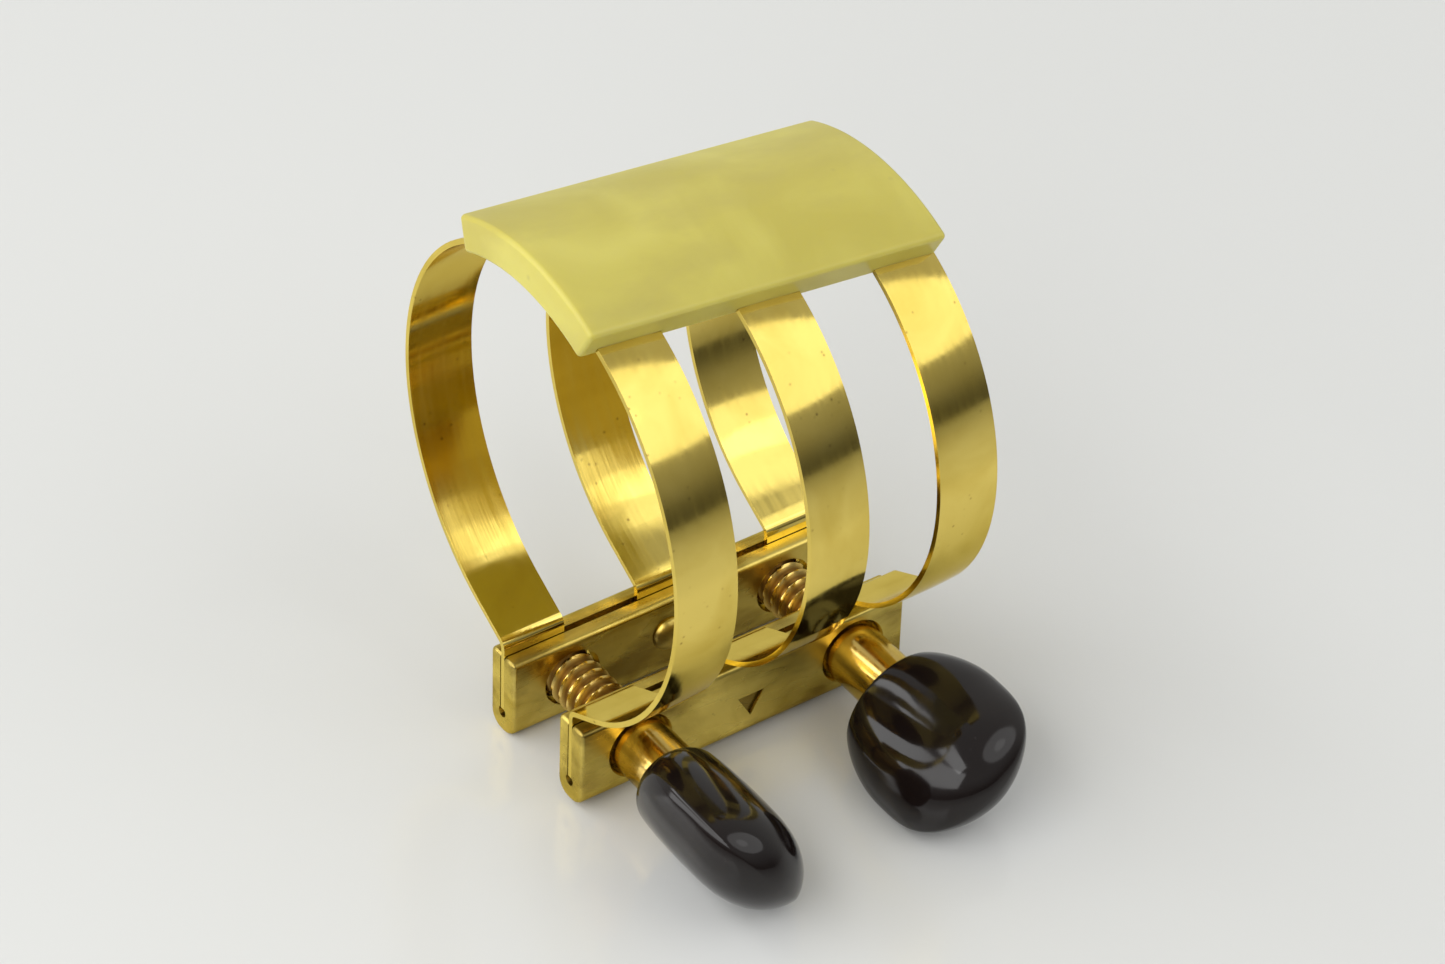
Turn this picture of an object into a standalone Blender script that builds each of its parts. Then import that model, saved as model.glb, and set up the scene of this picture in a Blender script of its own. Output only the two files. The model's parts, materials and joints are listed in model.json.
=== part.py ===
"""Three-band saxophone ligature with an arched resin pressure plate.

Frame: +X runs along the two clamp rails from the wide end to the narrow end,
+Y from the front rail (thumb screw heads) to the rear rail, +Z up to the plate.
Each side is a comb: one thin brass sheet cut as a flange with three bands.  The
flange sits in the seam of a rail folded like a hairpin, and the band ends sit
in slots in the long edges of the plate.  The two thumb screws run along Y,
through the front rail into the rear rail.  The ring tapers towards +X.
"""
import math

import bmesh
import bpy
from mathutils import Matrix, Vector

MM = 0.001

# row frame: the centre of the bottom of the bounding box is the origin
SHIFT = Vector((0.389, 2.86, 0.906))

# rails, hairpin fold with a seam for the flange
RAIL_LENGTH = 23.30
RAIL_HEIGHT = 5.90
RAIL_THICK = 2.45
FRONT_RAIL_Y = -3.65        # seam centre
REAR_RAIL_Y = 3.55
SEAM_WIDTH = 0.44
SEAM_BOTTOM = 1.50
FOLD_RADIUS = 1.10
TOP_ROUND = 0.25
TEAR_RADIUS = 0.36

# combs
SHEET = 0.40
BAND_WIDTH = 4.25
BAND_PITCH = 9.50
FLANGE_BOTTOM = 1.75
FLANGE_TOP = 5.35
RISER_TOP = 6.20
BAND_STEPS = 22
BEND_STEPS = 4

# ring, an upright ellipse that shrinks towards +X about the rail tops
RING_A = 13.88
RING_B = 14.95
RING_CENTRE = 21.48
RING_BASE = 5.30            # height that the taper shrinks towards
TAPER = 0.0040
WIDE_END = -11.625

# plate
PLATE_X0 = -12.65
PLATE_X1 = 11.87
PLATE_THICK = 2.30
PLATE_HALF_CHORD = 6.20
PLATE_RADIUS = 13.97
PLATE_DROP = 0.72           # band line below the plate's middle line
PLATE_STEPS = 14
PLATE_EDGE = 0.35
SLOT_DEPTH = 1.40

# thumb screws
SCREW_X = (-7.43, 7.95)
SCREW_Z = 3.12
SCREW_TURN = (129.0, 39.0)  # degrees about the screw, blade's width from +X
THREAD_RADIUS = 1.70
THREAD_ROOT = 1.27
THREAD_PITCH = 0.794
THREAD_SIDES = 18
THREAD_START = -4.20
THREAD_END = 5.60
TAP_RADIUS = 1.76
FRONT_BORE = 1.78
SEAT_RADIUS = 2.20
SEAT_DEPTH = 0.90
BARREL_RADIUS = 1.95
BARREL_SIDES = 24
BARREL_END = -10.30
BLADE_THICK = 1.60
BLADE_HALF_WIDTH = 3.60
BLADE_START = -9.30
BLADE_END = -18.50
BLADE_SIDES = 24

# vinyl grips, lens shaped, dipped over the blades
GRIP_START = -7.40
GRIP_END = -19.80
GRIP_HALF_WIDTH = 4.95
GRIP_HALF_THICK = 2.75
GRIP_FIT = 0.03
GRIP_SIDES = 24

# rivet in the rear rail
RIVET_X = -0.45
RIVET_Z = 3.30
RIVET_SHANK = 0.65
RIVET_HEAD = 1.15
RIVET_DOME = 0.55
RIVET_FIT = 0.02


def clear_scene():
    for obj in list(bpy.data.objects):
        bpy.data.objects.remove(obj, do_unlink=True)


def new_material(name, color, metallic, roughness):
    mat = bpy.data.materials.new(name)
    mat.use_nodes = True
    bsdf = mat.node_tree.nodes["Principled BSDF"]
    bsdf.inputs["Base Color"].default_value = (*color, 1.0)
    bsdf.inputs["Metallic"].default_value = metallic
    bsdf.inputs["Roughness"].default_value = roughness
    mat.diffuse_color = (*color, 1.0)
    return mat


def brass(node, color, roughness):
    return new_material(node + "_brass", color, 1.0, roughness)


def add_empty(name, parent, location, turn=0.0):
    empty = bpy.data.objects.new(name, None)
    empty.location = Vector(location) * MM
    empty.rotation_euler = (0.0, math.radians(turn), 0.0)
    empty.empty_display_size = 5.0 * MM
    empty.parent = parent
    bpy.context.scene.collection.objects.link(empty)
    return empty


def add_object(name, bm, coll, parent, location=(0, 0, 0), rotation=(0, 0, 0), mat=None):
    """Object from a mesh drawn in millimetres about its own origin."""
    bmesh.ops.transform(bm, matrix=Matrix.Scale(MM, 4), verts=bm.verts)
    mesh = bpy.data.meshes.new(name)
    bm.to_mesh(mesh)
    bm.free()
    if mat is not None:
        mesh.materials.append(mat)
    mesh.shade_smooth()
    mesh.set_sharp_from_angle(angle=math.radians(35))
    obj = bpy.data.objects.new(name, mesh)
    obj.parent = parent
    obj.location = Vector(location) * MM
    obj.rotation_euler = [math.radians(a) for a in rotation]
    coll.objects.link(obj)
    return obj


def boolean(target, other, operation):
    mod = target.modifiers.new(other.name, "BOOLEAN")
    mod.operation = operation
    mod.solver = "EXACT"
    mod.object = other


def solidify(obj, thickness):
    mod = obj.modifiers.new("thickness", "SOLIDIFY")
    mod.thickness = thickness * MM
    mod.offset = 0.0
    mod.use_even_offset = True


def cylinder_y(name, radius, y0, y1, sides, coll, parent, x=0.0, z=0.0):
    bm = bmesh.new()
    bmesh.ops.create_cone(bm, cap_ends=True, segments=sides, radius1=radius,
                          radius2=radius, depth=y1 - y0)
    return add_object(name, bm, coll, parent, (x, (y0 + y1) / 2, z), (90, 0, 0))


def loft(rings):
    """Closed skin over a list of equal rings, with flat ends."""
    bm = bmesh.new()
    loops = [[bm.verts.new(p) for p in ring] for ring in rings]
    n = len(loops[0])
    for a, b in zip(loops, loops[1:]):
        for k in range(n):
            m = (k + 1) % n
            bm.faces.new((a[k], a[m], b[m], b[k]))
    bm.faces.new(loops[0])
    bm.faces.new(loops[-1])
    bmesh.ops.recalc_face_normals(bm, faces=bm.faces)
    return bm


def grid(columns, lines, cells):
    """Open surface on a grid of points; cells says which squares exist."""
    bm = bmesh.new()
    verts = {}

    def corner(c, r):
        if (c, r) not in verts:
            y, z = lines[c][r]
            verts[c, r] = bm.verts.new((columns[c], y, z))
        return verts[c, r]

    for c, r in cells:
        bm.faces.new([corner(c, r), corner(c + 1, r), corner(c + 1, r + 1), corner(c, r + 1)])
    return bm


# ---------------------------------------------------------------- ring line

def scale_at(x):
    return 1.0 - TAPER * (x - WIDE_END)


def ring_point(x, side, angle):
    """Point on the ring's middle line; angle runs up from the lowest point."""
    s = scale_at(x)
    z = RING_BASE + (RING_CENTRE - RING_BASE) * s - RING_B * s * math.cos(angle)
    return side * RING_A * s * math.sin(angle), z


def band_line(x, side, seam_y, end_angle):
    """Middle line of a band at one x: flange, riser, bend, then the ring."""
    root = abs(seam_y)
    first = math.asin((root + 0.75) / (RING_A * scale_at(x)))
    y1, z1 = ring_point(x, side, first)
    y2, z2 = ring_point(x, side, first + 0.02)
    # corner where the riser meets the ring's tangent
    corner = (seam_y, z1 + (seam_y - y1) * (z2 - z1) / (y2 - y1))
    low = (seam_y, RISER_TOP)
    points = [(seam_y, FLANGE_BOTTOM), (seam_y, FLANGE_TOP)]
    for k in range(BEND_STEPS + 1):
        t = k / BEND_STEPS
        y = (1 - t) ** 2 * low[0] + 2 * t * (1 - t) * corner[0] + t * t * y1
        z = (1 - t) ** 2 * low[1] + 2 * t * (1 - t) * corner[1] + t * t * z1
        points.append((y, z))
    for k in range(1, BAND_STEPS + 1):
        points.append(ring_point(x, side, first + (end_angle - first) * k / BAND_STEPS))
    return points


def plate_arc(x):
    """Centre height of the plate's arc, its half angle, and where bands enter."""
    phi = math.asin(PLATE_HALF_CHORD / PLATE_RADIUS)
    radius = PLATE_RADIUS - PLATE_DROP
    y = radius * math.sin(phi)
    angle = math.pi - math.asin(y / (RING_A * scale_at(x)))
    z = ring_point(x, 1.0, angle)[1]
    return z - radius * math.cos(phi), phi, y


def plate_end_angle(x, depth):
    """Ring angle at a given depth inside the plate's long edge."""
    half = plate_arc(x)[2] - depth * 0.88
    return math.pi - math.asin(half / (RING_A * scale_at(x)))


def band_columns(grow):
    half = BAND_WIDTH / 2 + grow
    out = []
    for i in (-1, 0, 1):
        out += [i * BAND_PITCH - half, i * BAND_PITCH + half]
    return out


def make_comb(name, side, seam_y, coll, parent, mat):
    columns = band_columns(0.0)
    lines = [
        band_line(x, side, seam_y, plate_end_angle(x, SLOT_DEPTH)) for x in columns
    ]
    cells = [(c, 0) for c in range(5)]
    cells += [(c, r) for c in (0, 2, 4) for r in range(1, len(lines[0]) - 1)]
    comb = add_object(name, grid(columns, lines, cells), coll, parent, mat=mat)
    solidify(comb, SHEET)
    return comb


def make_slot_cutter(name, side, coll, parent):
    """Slightly thicker and wider band ends, to cut the plate's slots."""
    columns = band_columns(0.03)
    lines = []
    for x in columns:
        a0 = plate_end_angle(x, -1.5)
        a1 = plate_end_angle(x, SLOT_DEPTH + 0.05)
        lines.append([
            ring_point(x, side, a0 + (a1 - a0) * k / 4) for k in range(5)
        ])
    cells = [(c, r) for c in (0, 2, 4) for r in range(4)]
    cutter = add_object(name, grid(columns, lines, cells), coll, parent)
    solidify(cutter, SHEET + 0.05)
    return cutter


# -------------------------------------------------------------------- rails

def make_rail(name, seam_y, coll, cutters, parent, mat):
    """Bar with a rolled lower side, then the seam and the hollow of its fold."""
    bm = bmesh.new()
    bmesh.ops.create_cube(bm, size=1.0)
    bmesh.ops.scale(bm, vec=(RAIL_LENGTH, RAIL_THICK, RAIL_HEIGHT), verts=bm.verts)
    for low, offset, segments in ((True, FOLD_RADIUS, 5), (False, TOP_ROUND, 2)):
        edges = []
        for e in bm.edges:
            a, b = e.verts[0].co, e.verts[1].co
            outer = abs(a.z) > 0.49 * RAIL_HEIGHT and abs(b.z) > 0.49 * RAIL_HEIGHT
            if abs(a.x - b.x) > 1.0 and outer and (a.z < 0) == low:
                edges.append(e)
        bmesh.ops.bevel(bm, geom=edges, offset=offset, segments=segments, profile=0.5,
                        affect="EDGES")
    rail = add_object(name, bm, coll, parent, (0, seam_y, RAIL_HEIGHT / 2), mat=mat)

    depth = RAIL_HEIGHT - SEAM_BOTTOM + 1.0
    bm = bmesh.new()
    bmesh.ops.create_cube(bm, size=1.0)
    bmesh.ops.scale(bm, vec=(RAIL_LENGTH + 2.0, SEAM_WIDTH, depth), verts=bm.verts)
    seam = add_object("cut_seam_" + name, bm, cutters, parent,
                      (0, seam_y, SEAM_BOTTOM + depth / 2))
    bm = bmesh.new()
    bmesh.ops.create_cone(bm, cap_ends=True, segments=12, radius1=TEAR_RADIUS,
                          radius2=TEAR_RADIUS, depth=RAIL_LENGTH + 2.0)
    fold = add_object("cut_fold_" + name, bm, cutters, parent,
                      (0, seam_y, SEAM_BOTTOM), (0, 90, 0))
    boolean(rail, seam, "DIFFERENCE")
    boolean(rail, fold, "DIFFERENCE")
    return rail


# -------------------------------------------------------------------- plate

def make_plate(name, coll, parent, mat):
    """Arched sheet between its two end arcs, thickened, with rounded edges."""
    columns = (PLATE_X0, PLATE_X1)
    lines = []
    for x in columns:
        centre, phi, _ = plate_arc(x)
        arc = []
        for k in range(PLATE_STEPS + 1):
            a = phi * (1 - 2 * k / PLATE_STEPS)
            arc.append((PLATE_RADIUS * math.sin(a), centre + PLATE_RADIUS * math.cos(a)))
        lines.append(arc)
    plate = add_object(name, grid(columns, lines, [(0, r) for r in range(PLATE_STEPS)]),
                       coll, parent, mat=mat)
    solidify(plate, PLATE_THICK)
    bevel = plate.modifiers.new("edge", "BEVEL")
    bevel.width = PLATE_EDGE * MM
    bevel.segments = 2
    bevel.limit_method = "ANGLE"
    bevel.angle_limit = math.radians(45)
    return plate


# ------------------------------------------------------------- thumb screws

def make_screw(name, coll, cutters, parent, mat):
    """Barrel and helical thread in one skin along Y, with a flat blade."""
    n = THREAD_SIDES
    rings = []

    def circle(y, radius_at):
        ring = []
        for k in range(n):
            a = 2 * math.pi * k / n
            r = radius_at(a)
            ring.append((r * math.cos(a), y, r * math.sin(a)))
        rings.append(ring)

    circle(BARREL_END, lambda a: BARREL_RADIUS)
    circle(THREAD_START - 0.12, lambda a: BARREL_RADIUS)
    circle(THREAD_START, lambda a: BARREL_RADIUS - 0.12)
    circle(THREAD_START, lambda a: THREAD_ROOT)
    start = THREAD_START + 1.9
    step = THREAD_PITCH / 4
    count = int((THREAD_END - 0.5 - start) / step)
    circle(start - step, lambda a: THREAD_ROOT)
    depth = (THREAD_RADIUS - THREAD_ROOT) / 2
    for i in range(count + 1):
        fade = min(1.0, i / 3, (count - i) / 3)
        turn = math.pi * i / 2
        circle(start + i * step,
               lambda a: THREAD_ROOT + depth * (1 + math.cos(turn + a)) * fade)
    circle(start + (count + 1) * step, lambda a: THREAD_ROOT - 0.05)
    screw = add_object(name, loft(rings), coll, parent, mat=mat)
    boolean(screw, make_blade("add_blade_" + name, 0.0, cutters, parent), "UNION")
    return screw


def make_blade(name, grow, coll, parent):
    """Flat oval blade; its width lies on X, its thickness on Z."""
    bm = bmesh.new()
    bmesh.ops.create_cone(bm, cap_ends=True, segments=BLADE_SIDES, radius1=1.0,
                          radius2=1.0, depth=BLADE_THICK + 2 * grow)
    half_length = abs(BLADE_END - BLADE_START) / 2 + grow
    bmesh.ops.scale(bm, vec=(BLADE_HALF_WIDTH + grow, half_length, 1.0), verts=bm.verts)
    return add_object(name, bm, coll, parent, (0, (BLADE_START + BLADE_END) / 2, 0))


def make_grip(name, coll, cutters, parent, mat):
    """Lens shaped skin with a soft rim and a small drip at the tip."""
    stations = (
        (0.000, 0.470, 0.84), (0.020, 0.530, 0.90), (0.070, 0.660, 0.93),
        (0.150, 0.810, 0.96), (0.260, 0.925, 0.99), (0.400, 0.990, 1.00),
        (0.540, 0.985, 0.98), (0.680, 0.905, 0.90), (0.800, 0.760, 0.77),
        (0.890, 0.580, 0.60), (0.950, 0.405, 0.43), (0.985, 0.235, 0.27),
        (1.000, 0.110, 0.15),
    )
    rings = []
    for t, wide, deep in stations:
        # round at the neck, lens shaped further out
        power = 1.0 + 0.25 * min(1.0, t / 0.3)
        ring = []
        for k in range(GRIP_SIDES):
            a = 2 * math.pi * k / GRIP_SIDES
            lens = math.copysign(abs(math.sin(a)) ** power, math.sin(a))
            ring.append((wide * GRIP_HALF_WIDTH * math.cos(a),
                         GRIP_START + (GRIP_END - GRIP_START) * t,
                         deep * GRIP_HALF_THICK * lens))
        rings.append(ring)
    grip = add_object(name, loft(rings), coll, parent, mat=mat)
    pocket = make_blade("cut_blade_" + name, GRIP_FIT, cutters, parent)
    hole = cylinder_y("cut_barrel_" + name, BARREL_RADIUS + GRIP_FIT, BARREL_END - GRIP_FIT,
                      -5.0, BARREL_SIDES, cutters, parent)
    boolean(grip, pocket, "DIFFERENCE")
    boolean(grip, hole, "DIFFERENCE")
    return grip


def make_rivet(name, coll, parent, mat):
    """Turned profile, the domed head first, spun about its own Z."""
    length = RAIL_THICK
    profile = [(0.0, RIVET_DOME)]
    for k in range(4, 0, -1):
        t = math.radians(90 * k / 5)
        profile.append((RIVET_HEAD * math.cos(t), RIVET_DOME * math.sin(t)))
    profile += [(RIVET_HEAD, 0.0), (RIVET_SHANK, 0.0), (RIVET_SHANK, -length), (0.0, -length)]
    bm = bmesh.new()
    verts = [bm.verts.new((r, 0.0, z)) for r, z in profile]
    for a, b in zip(verts, verts[1:]):
        bm.edges.new((a, b))
    face = REAR_RAIL_Y - RAIL_THICK / 2 - RIVET_FIT
    rivet = add_object(name, bm, coll, parent, (RIVET_X, face, RIVET_Z), (90, 0, 0), mat)
    mod = rivet.modifiers.new("spin", "SCREW")
    mod.steps = mod.render_steps = 20
    mod.use_merge_vertices = True
    mod.merge_threshold = 0.00001
    return rivet


def main():
    clear_scene()
    scene = bpy.context.scene
    scene.unit_settings.system = "METRIC"
    parts = bpy.data.collections.new("saxophone_ligature")
    cutters = bpy.data.collections.new("cutters")
    scene.collection.children.link(parts)
    scene.collection.children.link(cutters)
    root = add_empty("ligature_origin", None, SHIFT)

    plate = make_plate("pressure_plate", parts, root,
                       new_material("plate_resin", (0.62, 0.60, 0.22), 0.0, 0.35))
    band, bar, turned = (0.70, 0.55, 0.18), (0.66, 0.56, 0.22), (0.62, 0.46, 0.16)
    combs, rails = {}, {}
    for label, side, seam_y in (("rear", 1.0, REAR_RAIL_Y), ("front", -1.0, FRONT_RAIL_Y)):
        name = label + "_bands"
        combs[label] = make_comb(name, side, seam_y, parts, root, brass(name, band, 0.2))
        name = label + "_rail"
        rails[label] = make_rail(name, seam_y, parts, cutters, root, brass(name, bar, 0.35))
        boolean(plate, make_slot_cutter("cut_slots_" + label, side, cutters, root),
                "DIFFERENCE")

    seat_end = FRONT_RAIL_Y - RAIL_THICK / 2 + SEAT_DEPTH
    for x, turn, label in zip(SCREW_X, SCREW_TURN, ("left", "right")):
        tap = cylinder_y("cut_tap_" + label, TAP_RADIUS, 1.5, 8.0, 24, cutters, root, x, SCREW_Z)
        bore = cylinder_y("cut_bore_" + label, FRONT_BORE, -6.5, -1.5, 24, cutters, root,
                          x, SCREW_Z)
        seat = cylinder_y("cut_seat_" + label, SEAT_RADIUS, -6.5, seat_end, 28, cutters, root,
                          x, SCREW_Z)
        for target, cutter in ((rails["rear"], tap), (combs["rear"], tap),
                               (rails["front"], bore), (rails["front"], seat),
                               (combs["front"], bore)):
            boolean(target, cutter, "DIFFERENCE")
        axis = add_empty(label + "_thumbscrew", root, (x, 0, SCREW_Z), -turn)
        make_screw(label + "_screw", parts, cutters, axis,
                   brass(label + "_screw", turned, 0.25))
        make_grip(label + "_grip", parts, cutters, axis,
                  new_material(label + "_grip_vinyl", (0.02, 0.015, 0.012), 0.0, 0.15))

    make_rivet("rear_rivet", parts, root, brass("rear_rivet", (0.75, 0.62, 0.28), 0.2))
    hole = cylinder_y("cut_rivet", RIVET_SHANK + RIVET_FIT, 1.5, 8.0, 20, cutters, root,
                      RIVET_X, RIVET_Z)
    boolean(rails["rear"], hole, "DIFFERENCE")
    boolean(combs["rear"], hole, "DIFFERENCE")

    for obj in cutters.objects:
        obj.hide_render = True
        obj.display_type = "WIRE"
    bpy.context.view_layer.update()


main()
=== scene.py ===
import json
import math

import bpy
from mathutils import Matrix, Quaternion, Vector

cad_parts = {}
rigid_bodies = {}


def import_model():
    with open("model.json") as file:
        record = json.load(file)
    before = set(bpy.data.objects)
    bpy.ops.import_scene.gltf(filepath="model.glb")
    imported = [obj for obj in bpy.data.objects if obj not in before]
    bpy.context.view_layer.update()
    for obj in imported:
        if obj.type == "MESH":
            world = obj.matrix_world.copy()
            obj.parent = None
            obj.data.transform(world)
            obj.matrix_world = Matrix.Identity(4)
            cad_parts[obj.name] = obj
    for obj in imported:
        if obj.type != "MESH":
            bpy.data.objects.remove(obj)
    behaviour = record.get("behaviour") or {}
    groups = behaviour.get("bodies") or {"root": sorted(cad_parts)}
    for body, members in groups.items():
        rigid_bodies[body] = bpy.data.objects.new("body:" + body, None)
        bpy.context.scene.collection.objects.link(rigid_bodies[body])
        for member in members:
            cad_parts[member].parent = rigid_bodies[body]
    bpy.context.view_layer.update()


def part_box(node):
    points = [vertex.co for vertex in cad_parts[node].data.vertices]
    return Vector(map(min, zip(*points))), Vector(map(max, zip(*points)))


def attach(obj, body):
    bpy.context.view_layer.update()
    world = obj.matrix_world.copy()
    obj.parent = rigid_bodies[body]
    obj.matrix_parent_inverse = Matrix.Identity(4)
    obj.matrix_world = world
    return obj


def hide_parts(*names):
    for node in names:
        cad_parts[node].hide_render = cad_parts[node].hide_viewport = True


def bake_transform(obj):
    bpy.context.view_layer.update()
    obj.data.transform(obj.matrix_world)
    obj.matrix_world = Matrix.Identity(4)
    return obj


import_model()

mm = 0.001
frontLow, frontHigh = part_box("front_rail")
rearLow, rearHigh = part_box("rear_rail")
railMidX = (frontLow.x + frontHigh.x) / 2 / mm
railBottom = frontLow.z / mm
frontSeamY = (frontLow.y + frontHigh.y) / 2 / mm
rearSeamY = (rearLow.y + rearHigh.y) / 2 / mm
ringShiftY = 0.05                                 # how far the ring stands behind the rails' middle
# everything below is drawn in millimetres about this point, level with the underside of the rails
home = Vector((railMidX, (frontSeamY + rearSeamY) / 2 + ringShiftY, railBottom))
frontY = frontSeamY - home.y
rearY = rearSeamY - home.y


# small helpers for edit mode

def pickOnly(obj):
    for other in bpy.context.view_layer.objects:
        other.select_set(False)
    obj.select_set(True)
    bpy.context.view_layer.objects.active = obj


def editMode(obj, kind="VERT"):
    pickOnly(obj)
    bpy.ops.object.mode_set(mode="EDIT")
    bpy.ops.mesh.select_mode(type=kind)
    bpy.ops.mesh.select_all(action="DESELECT")


def objectMode():
    bpy.ops.object.mode_set(mode="OBJECT")


def pickEdges(obj, test):
    bpy.ops.object.mode_set(mode="OBJECT")
    mesh = obj.data
    for v in mesh.vertices:
        v.select = False
    for p in mesh.polygons:
        p.select = False
    for e in mesh.edges:
        a, b = mesh.vertices[e.vertices[0]].co, mesh.vertices[e.vertices[1]].co
        e.select = test(a, b)
    bpy.ops.object.mode_set(mode="EDIT")


def pickFaces(obj, test):
    bpy.ops.object.mode_set(mode="OBJECT")
    for v in obj.data.vertices:
        v.select = False
    for e in obj.data.edges:
        e.select = False
    for p in obj.data.polygons:
        p.select = test(p)
    bpy.ops.object.mode_set(mode="EDIT")


def applyModifiers(obj):
    pickOnly(obj)
    for mod in list(obj.modifiers):
        bpy.ops.object.modifier_apply(modifier=mod.name)


def cutWith(obj, cutter, operation="DIFFERENCE"):
    mod = obj.modifiers.new("cut", "BOOLEAN")
    mod.operation = operation
    mod.solver = "EXACT"
    mod.object = cutter
    applyModifiers(obj)
    bpy.data.objects.remove(cutter, do_unlink=True)


def bevelSharp(obj, width, segments, angle):
    mod = obj.modifiers.new("edges", "BEVEL")
    mod.width = width * mm
    mod.segments = segments
    mod.limit_method = "ANGLE"
    mod.angle_limit = math.radians(angle)
    applyModifiers(obj)


def smoothShade(obj, angle=35):
    pickOnly(obj)
    bpy.ops.object.shade_smooth_by_angle(angle=math.radians(angle))


def crispShade(obj, angle=35):                    # flat faces stay flat, the rounding takes the turn
    smoothShade(obj, angle)
    mod = obj.modifiers.new("faces", "WEIGHTED_NORMAL")
    mod.keep_sharp = True
    mod.weight = 80
    applyModifiers(obj)


def outward(obj):
    editMode(obj)
    bpy.ops.mesh.select_all(action="SELECT")
    bpy.ops.mesh.remove_doubles(threshold=0.000002)
    bpy.ops.mesh.normals_make_consistent(inside=False)
    objectMode()


def place(obj):
    pickOnly(obj)
    bpy.ops.object.transform_apply(location=True, rotation=True, scale=True)


def rod(radius, y0, y1, x, z, sides=48):
    bpy.ops.mesh.primitive_cylinder_add(
        vertices=sides, radius=radius * mm, depth=(y1 - y0) * mm,
        location=(home + Vector((x, (y0 + y1) / 2, z))) * mm, rotation=(math.pi / 2, 0, 0))
    obj = bpy.context.object
    place(obj)
    return obj


def block(size, centre):
    bpy.ops.mesh.primitive_cube_add(size=1, location=(home + Vector(centre)) * mm)
    obj = bpy.context.object
    obj.scale = Vector(size) * mm
    place(obj)
    return obj


def settle(obj, name, body, node, material):
    obj.name = name
    obj.data.name = name
    obj.data.materials.clear()
    obj.data.materials.append(material)
    if body:
        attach(obj, body)
    if node:
        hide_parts(node)
    print("made", name, len(obj.data.polygons), "faces")


# ring line shared by the bands and the plate

ring = dict(halfWidth=13.875, halfHeight=14.95, centre=21.48, foot=5.30,
            taper=0.0040, wideEnd=-11.625, lean=0.018)


def scaleAt(x):
    return 1.0 - ring["taper"] * (x - ring["wideEnd"])


def ringPoint(x, side, angle):
    s = scaleAt(x)
    z = ring["foot"] + (ring["centre"] - ring["foot"]) * s - ring["halfHeight"] * s * math.cos(angle)
    return side * ring["halfWidth"] * s * math.sin(angle) + ring["lean"] * (z - ring["centre"]), z


plate = dict(left=-12.65, right=11.87, thick=2.26, halfChord=6.20, radius=13.97, drop=0.72,
             edge=0.30, edgeSteps=5, across=28, along=12, lift=0.12, leanRise=0.50,
             slotOut=-1.5, slotSteps=6, slotSlack=0.03, slotDeeper=0.05, slotTaller=0.06)
tuckShare = 0.88                                  # how much of a strip's tuck shows as chord


# height of the plate's centre, its half angle and its half chord
def plateArc(x):
    phi = math.asin(plate["halfChord"] / plate["radius"])
    radius = plate["radius"] - plate["drop"]
    y = radius * math.sin(phi)
    angle = math.pi - math.asin(y / (ring["halfWidth"] * scaleAt(x)))
    return ringPoint(x, 1.0, angle)[1] - radius * math.cos(phi), phi, y


def plateEndAngle(x, depth):
    half = plateArc(x)[2] - depth * tuckShare
    return math.pi - math.asin(half / (ring["halfWidth"] * scaleAt(x)))


# materials

def newMaterial(name):
    mat = bpy.data.materials.new(name)
    mat.use_nodes = True
    return mat, mat.node_tree.nodes, mat.node_tree.links, mat.node_tree.nodes["Principled BSDF"]


def node(nodes, kind, **values):
    n = nodes.new(kind)
    for key, value in values.items():
        if hasattr(n, key):
            setattr(n, key, value)
        else:
            n.inputs[key.replace("_", " ")].default_value = value
    return n


def newGroup(name, inputs, outputs):
    tree = bpy.data.node_groups.new(name, "ShaderNodeTree")
    for label, kind, value in inputs:             # None leaves a vector input at nought
        sock = tree.interface.new_socket(name=label, in_out="INPUT", socket_type=kind)
        if value is not None:
            sock.default_value = value
    for label, kind in outputs:
        tree.interface.new_socket(name=label, in_out="OUTPUT", socket_type=kind)
    return tree, tree.nodes.new("NodeGroupInput"), tree.nodes.new("NodeGroupOutput")


def ramp(nodes, stops):
    n = nodes.new("ShaderNodeValToRGB")
    while len(n.color_ramp.elements) > 1:
        n.color_ramp.elements.remove(n.color_ramp.elements[-1])
    for k, (pos, level) in enumerate(stops):
        e = n.color_ramp.elements.new(pos) if k else n.color_ramp.elements[0]
        e.position = pos
        e.color = (level, level, level, 1.0)
    return n


def rubGroup():
    tree, gin, gout = newGroup("rubMarks", [
        ("Vector", "NodeSocketVector", None), ("Stretch", "NodeSocketVector", (1.0, 1.0, 1.0)),
        ("Scale", "NodeSocketFloat", 900.0), ("Detail", "NodeSocketFloat", 4.0)],
        [("Mask", "NodeSocketFloat")])
    mul = tree.nodes.new("ShaderNodeVectorMath")
    mul.operation = "MULTIPLY"
    noise = tree.nodes.new("ShaderNodeTexNoise")
    tree.links.new(gin.outputs["Vector"], mul.inputs[0])
    tree.links.new(gin.outputs["Stretch"], mul.inputs[1])
    tree.links.new(mul.outputs[0], noise.inputs["Vector"])
    tree.links.new(gin.outputs["Scale"], noise.inputs["Scale"])
    tree.links.new(gin.outputs["Detail"], noise.inputs["Detail"])
    tree.links.new(noise.outputs["Fac"], gout.inputs["Mask"])
    return tree


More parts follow.
